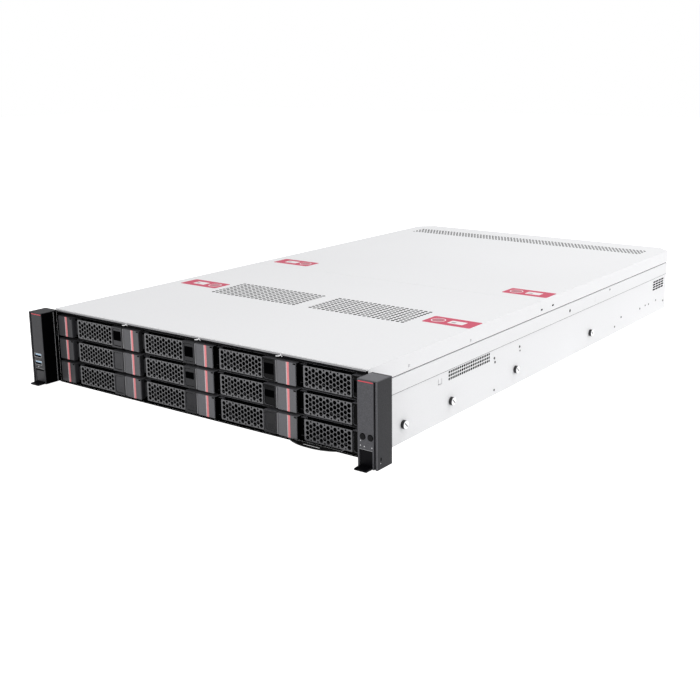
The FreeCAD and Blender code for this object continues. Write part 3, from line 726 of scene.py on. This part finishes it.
def slot_plugs(side, name):
    """Plugs in the small slots of the covers' sides; the rear cover's are black as painted shade.
    """
    start, end = span(side, *SLOT_PLUG)
    for body, depths, stop, z, look in SLOT_PLUGS:
        mesh = bmesh.new()
        for depth in depths:
            outline = plate((SLOT_PLUG_START, stop), (-SLOT_PLUG_HALF, SLOT_PLUG_HALF),
                            SLOT_PLUG_CORNER, (at_depth(depth), z * MM))
            add_prism(mesh, [outline], "x", start, end)
        piece("slot_plugs_%s_%s" % (body, name), mesh, look, body)


# ---- stickers -----------------------------------------------------------------------------
# name, left end, depth of the front edge, body
STICKERS = (("left_front", -204.4, 180.0, "chassis"), ("right_front", 157.5, 180.2, "chassis"),
            ("left_rear", -203.0, 356.0, "rear_cover"), ("right_rear", 156.9, 357.5, "rear_cover"))
STICKER = (59.6, 29.0)
STICKER_CORNER = 2.5
# heights above the cover: the label's two faces, its marks' face, the small bar's face
STICKER_LEVELS = (0.01, 0.07, 0.1, 0.12)
RING_INSET = 13
RING = (8.2, 7.0)
RING_SIDES = 40
RING_BARS = 3
RING_BAR = ((-4.4, 4.4), (-0.8, 0.8), 0.3)
RING_BAR_PITCH = 3.4
BLOCK_START = 14
BLOCK_LENGTH = 19
BLOCK = ((0, BLOCK_LENGTH), (-6, 6), 1)
BLOCK_BAR = ((3, 8), (-3, 1), 0.5)


def stickers():
    """Red labels, each with a ring towards the cover's outer edge and a block beside it."""
    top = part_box("front_cover")[1].z
    levels = [top + level * MM for level in STICKER_LEVELS]
    for name, x, depth, body in STICKERS:
        side = 1 if x > 0 else -1
        corner = (x * MM, at_depth(depth))
        label = plate((0, STICKER[0]), (0, STICKER[1]), STICKER_CORNER, corner)
        prism("sticker_" + name, [label], "z", *levels[:2], LABEL_RED, body, "cover")
        ring_x = (x + RING_INSET if side > 0 else x + STICKER[0] - RING_INSET) * MM
        middle = at_depth(depth + STICKER[1] / 2)
        block = ring_x + min(side * BLOCK_START, side * (BLOCK_START + BLOCK_LENGTH)) * MM
        marks = bmesh.new()
        ring = [circle(ring_x, middle, r * MM, RING_SIDES) for r in RING]
        for loops in (ring, [plate(*BLOCK, (block, middle))]):
            add_prism(marks, loops, "z", *levels[1:3])
        piece("sticker_marks_" + name, marks, LABEL_PALE, body)
        bars = bmesh.new()
        for i in range(RING_BARS):
            y = middle + (i - 1) * RING_BAR_PITCH * MM
            add_prism(bars, [plate(*RING_BAR, (ring_x, y))], "z", *levels[1:3])
        add_prism(bars, [plate(*BLOCK_BAR, (block, middle))], "z", *levels[2:])
        piece("sticker_bars_" + name, bars, LABEL_GREY, body)


# ---- side walls ---------------------------------------------------------------------------
# depth, height and radius
SCREWS = ((233.0, 42.3, 1.5), (234.6, 37.5, 1.4), (291.0, 42.3, 1.5), (292.0, 37.5, 1.0),
          (233.7, 6.1, 1.3), (563.0, 9.4, 1.4), (584.0, 18.3, 1.4), (651.0, 17.3, 1.4),
          (671.0, 18.2, 1.2), (684.0, 17.6, 1.2), (711.5, 18.4, 1.2), (740.5, 12.6, 1.5))
WALL_OUTSIDE = 217.8
SCREW_HEIGHT = 0.5
DOT_HEIGHTS = (0.52, 0.53)
DOT_SHARE = 0.95
DOT_SIDES = 12
WALL_FRONT = (216.3, 218.4)
WALL_FRONT_UP = (0.3, 84.5)
WALL_SKIN = ((0.1, 35), (0.6, 84), 0.2)
WALL_SKIN_X = (216.14, 216.19)
STUD_DEPTHS = (57.0, 144.0, 282.0, 483.0)
STUD_HEIGHT = 18
DARK_RING_R = (4.3, 4.22)
DARK_RING_SIDES = 32
DARK_RING_X = (217.85, 221.2)
STAR_ARM = ((-3.2, -0.55), (3.2, -0.55), (3.2, 0.55), (-3.2, 0.55))
STAR_X = (221.55, 221.6)
STAR_STEP = 0.01
DIAGONAL = 0.707


def screw_profile(r, height):
    """A low head with a rounded edge and a round socket, as shares of its radius and height."""
    return [(r, 0), (r, height * 0.35), (r * 0.8, height * 0.85), (r * 0.45, height),
            (r * 0.4, height * 0.3), (0, height * 0.3)]


def side_screws(side, name):
    """Bright screw heads on one wall, with a dark dot of painted shade over each one's drive."""
    wall = side * WALL_OUTSIDE * MM
    heads = bmesh.new()
    dots = bmesh.new()
    for depth, z, r in SCREWS:
        place = (at_depth(depth), z * MM)
        profile = [(a, side * b) for a, b in screw_profile(r * MM, SCREW_HEIGHT * MM)]
        add_lathe(heads, profile, "x", place, wall)
        dot = [(r * DOT_SHARE * MM, 0), (r * DOT_SHARE * MM, side * DOT_HEIGHTS[0] * MM),
               (0, side * DOT_HEIGHTS[1] * MM)]
        add_lathe(dots, dot, "x", place, wall, DOT_SIDES)
    piece("side_screws_" + name, heads, LOOKS["stud"], "chassis")
    piece("side_screw_dots_" + name, dots, DARK_REFLECTION_AND_SHADE, "chassis")


def wall_front(side, name):
    """Black skins of painted shade on the wall's front edge and on its inner face beside the
    carriers.
    """
    mesh = bmesh.new()
    across = sorted(side * x for x in WALL_FRONT)
    add_prism(mesh, [square(across, WALL_FRONT_UP)], "y", *past(FRONT, SKIN_DEPTHS))
    add_prism(mesh, [plate(*WALL_SKIN, (FRONT, 0))], "x", *span(side, *WALL_SKIN_X))
    piece("wall_front_" + name, mesh, SHADE_BLACK, "chassis")


def stud_dark_reflections(side, name):
    """Painted dark reflection on each rail stud: a dark ring round the side of its head and a star
    on its face.
    """
    mesh = bmesh.new()
    for depth in STUD_DEPTHS:
        place = (at_depth(depth), STUD_HEIGHT * MM)
        add_prism(mesh, [circle(*place, r * MM, DARK_RING_SIDES) for r in DARK_RING_R], "x",
                  side * DARK_RING_X[0] * MM, side * DARK_RING_X[1] * MM)
        for turn in (-1, 1):
            arm = [(place[0] + (a + turn * b) * DIAGONAL * MM,
                    place[1] + (b - turn * a) * DIAGONAL * MM) for a, b in STAR_ARM]
            add_prism(mesh, [arm], "x", side * (STAR_X[0] + STAR_STEP * turn) * MM,
                      side * (STAR_X[1] + STAR_STEP * turn) * MM)
    piece("stud_dark_reflections_" + name, mesh, DARK_REFLECTION_AND_SHADE, "chassis")


# ---- ears ---------------------------------------------------------------------------------
# In mm. name, axis, x, back from the ear's face, height, corner radius, look, slot
# The black skins are painted shade, the outer side's skin is darker as painted shade, and the
# recess line is a painted highlight.
EAR_SKINS = (
    ("ear_strip", "y", (220.6, 237.0), (-0.02, 0.29), (80.5, 81.35), 0.35, EAR_RED, "ear"),
    ("ear_groove", "y", (237.6, 239.5), (1.35, 1.49), (0.6, 82), 0.1, SHADE_BLACK, "tab"),
    ("ear_outside", "x", (241.31, 241.37), (0.9, 22.6), (1, 82.4), 0.3, EAR_SIDE_SHADE, "ear"),
    ("ear_inside", "x", (219.84, 219.89), (0.6, 20.4), (1, 82.4), 0.3, SHADE_BLACK, "tab"),
    ("recess_back", "y", (221.6, 236.0), (9.9, 9.99), (0.6, 17.5), 0.1, SHADE_BLACK, "tab"),
    ("recess_line", "y", (221.6, 236.0), (-0.06, -0.01), (17.7, 18.15), 0.15, HIGHLIGHT_GREY, "ear"),
)
EAR_TOP = ((220.6, 240.8), (0.6, 20), 0.3)
EAR_TOP_LEVELS = (0.01, 0.05)
# The ears' tops: the right one lighter than its ear as painted light, the left one in the left
# ear's painted shade.
EAR_TOP_LOOKS = {"right": SHADED_PANELS[2], "left": EAR_LEFT_SHADE}
# Painted highlight on the left ear's inner face.
EAR_GLINT = ((-2.1, -1.4), (0.5, 82), 0.2)
EAR_GLINT_X = (219.84, 219.8)
SIDE_FACE = 241.37
SIDE_HOLE = ((-13.6, -11.8), (8.4, 11.4), 0.4)
SIDE_HOLE_SKIN = (0, 0.03)
SIDE_DOT = (-13.4, 6.2)
SIDE_DOT_PROFILE = ((0.5, 0), (0.5, 0.06), (0, 0.08))
LATCH_PLATE = ((-235.5, -222.1), (3.0, 15.4), 0.5)
LATCH_PLATE_BACK = (0.3, 1.19)
LATCH_PLATE_ROUND = 0.2
LAMP_PLACES = {"ear_lamps_right": ((223.2, 25.8), (223.0, 21.3), (227.3, 20.9), (235.6, 20.9)),
               "ear_lamp_left": ((-230.6, 20.0),)}
LAMP_PROFILE = ((0.62, 0.1), (0.62, -0.12), (0.4, -0.22), (0, -0.25))
LAMP_SIDES = 16
USB_HEIGHTS = (33.2, 24.6)
# A USB shell's outside and inside and its tongue, from the socket's height, and back.
USB_SHELL = (((-236.7, -224.5), (-2.4, 2.4), 0.5), ((-236.4, -224.8), (-2.1, 2.1), 0.4))
USB_SHELL_BACK = (-0.1, 0.02)
USB_TONGUE = ((-235.6, -225.6), (0.1, 1.7), 0.2)
USB_TONGUE_BACK = (0.5, 1.2)


def ear_skin(entry, side, label, face):
    """One thin skin of an ear, mirrored for the left ear."""
    name, axis, x, back, up, r, look, slot = entry
    across = span(side, *x)
    depths = past(face, back)
    drawn, along = (across, depths) if axis == "y" else (depths, across)
    outline = rounded(*drawn, up[0] * MM, up[1] * MM, r * MM)
    prism("%s_%s" % (name, label), [outline], axis, *along, look, "chassis", slot)


def lamps(face):
    """Small domed lamps on the ears."""
    for name, places in LAMP_PLACES.items():
        mesh = bmesh.new()
        profile = [(r * MM, height * MM) for r, height in LAMP_PROFILE]
        for x, z in places:
            add_lathe(mesh, profile, "y", (x * MM, z * MM), face, LAMP_SIDES)
        piece(name, mesh, LENS_AND_GLINT, "chassis")


def ear_trim():
    """Strips, skins of painted shade and painted highlight, lamps and sockets of both ears and the
    plate of the left latch.
    """
    low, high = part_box("ear_right")
    face, peak = low.y, high.z
    for side, label in SIDES:
        for entry in EAR_SKINS:
            ear_skin(entry, side, label, face)
    prism("ear_glint_left", [plate(*EAR_GLINT, (FRONT, 0))], "x", *span(-1, *EAR_GLINT_X),
          HIGHLIGHT_GREY, "chassis", "ear")
    lamps(face)
    usb_ports(face)
    for side, label in SIDES:
        across, back, r = EAR_TOP
        top = rounded(*span(side, *across), *past(face, back), r * MM)
        prism("ear_top_" + label, [top], "z", *past(peak, EAR_TOP_LEVELS), EAR_TOP_LOOKS[label],
              "chassis", "ear")
    outside = SIDE_FACE * MM
    prism("ear_side_hole", [plate(*SIDE_HOLE, (FRONT, 0))], "x",
          *past(outside, SIDE_HOLE_SKIN), SHADE_BLACK, "chassis", "tab")
    dot = bmesh.new()
    add_lathe(dot, [(r * MM, height * MM) for r, height in SIDE_DOT_PROFILE], "x",
              (at_depth(SIDE_DOT[0]), SIDE_DOT[1] * MM), outside, DOT_SIDES)
    piece("ear_side_dot", dot, LENS_AND_GLINT, "chassis")
    # The left latch's plate takes the left ear's painted shade.
    prism("latch_plate_left", [plate(*LATCH_PLATE)], "y", *past(face, LATCH_PLATE_BACK),
          EAR_LEFT_SHADE, "rack_latch_left", "latch", LATCH_PLATE_ROUND * MM)


def usb_ports(face):
    """Bright shells and blue tongues, lightened by a painted highlight, of the two sockets on the
    left ear.
    """
    shells = bmesh.new()
    tongues = bmesh.new()
    for height in USB_HEIGHTS:
        corner = (0, height * MM)
        add_prism(shells, [plate(*outline, corner) for outline in USB_SHELL], "y",
                  *past(face, USB_SHELL_BACK))
        add_prism(tongues, [plate(*USB_TONGUE, corner)], "y", *past(face, USB_TONGUE_BACK))
    piece("usb_shells", shells, LOOKS["supply"], "chassis")
    piece("usb_tongues", tongues, TONGUE_BLUE_AND_GLINT, "chassis")


# ---- rear ---------------------------------------------------------------------------------
# In mm; a supply's are from its lower left corner, its catch's from the lower right one, and
# every range named back is from the rear panel's face.
INTAKE_X = 46.5
INTAKE_R = 13.4
INTAKE_SIDES = 40
INTAKE_BACK = (0.01, 0.04)
GUARD_RINGS = (4.0, 7.0, 10.0, 13.0)
GUARD_WIRE = 1.0
GUARD_RING_BACK = (0, 0.6)
GUARD_ARMS = (((-0.5, 0.5), (-13, 13), 0.2), ((-13, 13), (-0.5, 0.5), 0.2))
GUARD_ARM_BACK = (0.05, 0.4)
INLET = (18, 20)
INLET_PINS = ((-7, -1.5), (0, 3), (7, -1.5))
PIN = ((-1, 1), (-2, 2), 0.3)
PIN_BACK = (-11.9, -3)
SUPPLY_CATCH = ((-12, -5), (6, 30), 1.5)
SUPPLY_CATCH_BACK = (0, 2.4)
SUPPLY_CATCH_ROUND = 0.4
REAR_SCREW = (2.4, 1.0)
REAR_SCREW_ACROSS = (-130, 16, 110, 212)
REAR_SCREW_HEIGHTS = (78.0, 6.0)
SLOT_COVERS = 3
SLOT_PITCH = 58
SLOT_COVER = ((39, 83), (13, 31), 0.5)
SLOT_COVER_BACK = (-2.0, -1.25)


def supply_trim(number, rear):
    """Fan guard, intake black as painted shade, inlet pins and green catch of one power supply."""
    body = "power_supply_%d" % number
    low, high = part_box(body)
    middle = (low.x + INTAKE_X * MM, (low.z + high.z) / 2)
    guard = bmesh.new()
    for r in GUARD_RINGS:
        ring = [circle(*middle, size * MM, INTAKE_SIDES) for size in (r, r - GUARD_WIRE)]
        add_prism(guard, ring, "y", *past(rear, GUARD_RING_BACK))
    for arm in GUARD_ARMS:
        add_prism(guard, [plate(*arm, middle)], "y", *past(rear, GUARD_ARM_BACK))
    piece("supply_grille_%d" % number, guard, BRIGHT, body)
    prism("supply_intake_%d" % number, [circle(*middle, INTAKE_R * MM, INTAKE_SIDES)], "y",
          *past(rear, INTAKE_BACK), SHADE_BLACK, body, "tab")
    pins = bmesh.new()
    for dx, dz in INLET_PINS:
        centre = (low.x + (INLET[0] + dx) * MM, low.z + (INLET[1] + dz) * MM)
        add_prism(pins, [plate(*PIN, centre)], "y", *past(rear, PIN_BACK))
    piece("inlet_pins_%d" % number, pins, GOLD, body)
    prism("supply_catch_%d" % number, [plate(*SUPPLY_CATCH, (high.x, low.z))], "y",
          *past(rear, SUPPLY_CATCH_BACK), GREEN, body, "supply", SUPPLY_CATCH_ROUND * MM)


def rear_trim():
    """Trim of both supplies, the rear panel's screws and its slot covers."""
    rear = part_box("rear_panel")[1].y
    for number in (1, 2):
        supply_trim(number, rear)
    screws = bmesh.new()
    head = screw_profile(REAR_SCREW[0] * MM, REAR_SCREW[1] * MM)
    for x in REAR_SCREW_ACROSS:
        for z in REAR_SCREW_HEIGHTS:
            add_lathe(screws, head, "y", (x * MM, z * MM), rear)
    piece("rear_screws", screws, BRIGHT, "chassis")
    slots = bmesh.new()
    for i in range(SLOT_COVERS):
        outline = plate(*SLOT_COVER, (i * SLOT_PITCH * MM, 0))
        add_prism(slots, [outline], "y", *past(rear, SLOT_COVER_BACK))
    piece("slot_covers", slots, LOOKS["supply"], "chassis")


# ---- stage --------------------------------------------------------------------------------
FLOOR_HALF = 6.0
FLOOR_GREY = 0.8
FLOOR_GLOW = 0.85
WORLD_LIGHT = 0.5
# name, place, aim, size, watts
LIGHTS = (("key", (0.8, -2.2, 1.3), (0, 0, 0), (1.6, 1.6), 20),
          ("side", (2.4, 0.7, 0.9), (0.1, 0.1, 0), (1.6, 1.2), 13),
          ("top", (0.6, 1.1, 2.2), (0.1, 0.3, 0), (1.6, 1.6), 30))


def floor():
    """Pale floor whose glow only the camera and glossy reflections see."""
    mesh = bmesh.new()
    corners = [mesh.verts.new((x * FLOOR_HALF, y * FLOOR_HALF, 0))
               for x, y in ((-1, -1), (1, -1), (1, 1), (-1, 1))]
    mesh.faces.new(corners)
    data = bpy.data.meshes.new("floor")
    mesh.to_mesh(data)
    mesh.free()
    obj = bpy.data.objects.new("floor", data)
    bpy.context.scene.collection.objects.link(obj)
    material, tree, shader = node_material("floor_pale")
    shader.inputs["Base Color"].default_value = (FLOOR_GREY, FLOOR_GREY, FLOOR_GREY, 1)
    shader.inputs["Roughness"].default_value = 0.9
    shader.inputs["Specular IOR Level"].default_value = 0.1
    shader.inputs["Emission Color"].default_value = (1, 1, 1, 1)
    path = tree.nodes.new("ShaderNodeLightPath")
    seen = tree.nodes.new("ShaderNodeMath")
    seen.operation = "MAXIMUM"
    tree.links.new(path.outputs["Is Camera Ray"], seen.inputs[0])
    tree.links.new(path.outputs["Is Glossy Ray"], seen.inputs[1])
    glow = tree.nodes.new("ShaderNodeMath")
    glow.operation = "MULTIPLY"
    glow.inputs[1].default_value = FLOOR_GLOW
    tree.links.new(seen.outputs[0], glow.inputs[0])
    tree.links.new(glow.outputs[0], shader.inputs["Emission Strength"])
    data.materials.append(material)


def world():
    """White world, seen at full strength by the camera and dimmer as a light."""
    scene = bpy.context.scene
    scene.world = bpy.data.worlds.new("studio")
    scene.world.use_nodes = True
    tree = scene.world.node_tree
    tree.nodes.clear()
    output = tree.nodes.new("ShaderNodeOutputWorld")
    back = tree.nodes.new("ShaderNodeBackground")
    back.inputs["Color"].default_value = (1, 1, 1, 1)
    path = tree.nodes.new("ShaderNodeLightPath")
    strength = tree.nodes.new("ShaderNodeMapRange")
    strength.inputs["To Min"].default_value = WORLD_LIGHT
    strength.inputs["To Max"].default_value = 1.0
    tree.links.new(path.outputs["Is Camera Ray"], strength.inputs["Value"])
    tree.links.new(strength.outputs["Result"], back.inputs["Strength"])
    tree.links.new(back.outputs["Background"], output.inputs["Surface"])


def light(name, place, aim, size, watts):
    """Soft rectangular light that faces its aim."""
    data = bpy.data.lights.new(name, "AREA")
    data.shape = "RECTANGLE"
    data.size, data.size_y = size
    data.energy = watts
    obj = bpy.data.objects.new(name, data)
    bpy.context.scene.collection.objects.link(obj)
    away = Vector(place) - Vector(aim)
    obj.rotation_euler = away.to_track_quat("Z", "Y").to_euler()
    obj.location = place


def camera():
    """The view that was fitted to the photo's corners."""
    data = bpy.data.cameras.new("camera")
    data.sensor_width = CAMERA_SENSOR
    data.lens = CAMERA_LENS
    data.shift_x, data.shift_y = CAMERA_SHIFT
    data.clip_start = 0.01
    obj = bpy.data.objects.new("camera", data)
    bpy.context.scene.collection.objects.link(obj)
    obj.matrix_world = (Matrix.Translation(CAMERA_PLACE)
                        @ Matrix.Rotation(math.radians(CAMERA_YAW), 4, "Z")
                        @ Matrix.Rotation(math.radians(90 - CAMERA_PITCH), 4, "X")
                        @ Matrix.Rotation(math.radians(CAMERA_ROLL), 4, "Z"))
    bpy.context.scene.camera = obj


dress_frame()
for names, width in SOFT_EDGES:
    soften(names, width * MM)
for bay in BAYS:
    bay_trim(*bay)
lip_hooks()
lip_edge()
sill()
cover_vents()
for wall_side in SIDES:
    wall_vents(*wall_side)
    wall_seams(*wall_side)
    band_plugs(*wall_side)
    slot_plugs(*wall_side)
stickers()
for wall_side in SIDES:
    side_screws(*wall_side)
for wall_side in SIDES:
    wall_front(*wall_side)
    stud_dark_reflections(*wall_side)
ear_trim()
rear_trim()
floor()
world()
for lamp_values in LIGHTS:
    light(*lamp_values)
camera()
scene = bpy.context.scene
scene.view_settings.view_transform = "Standard"
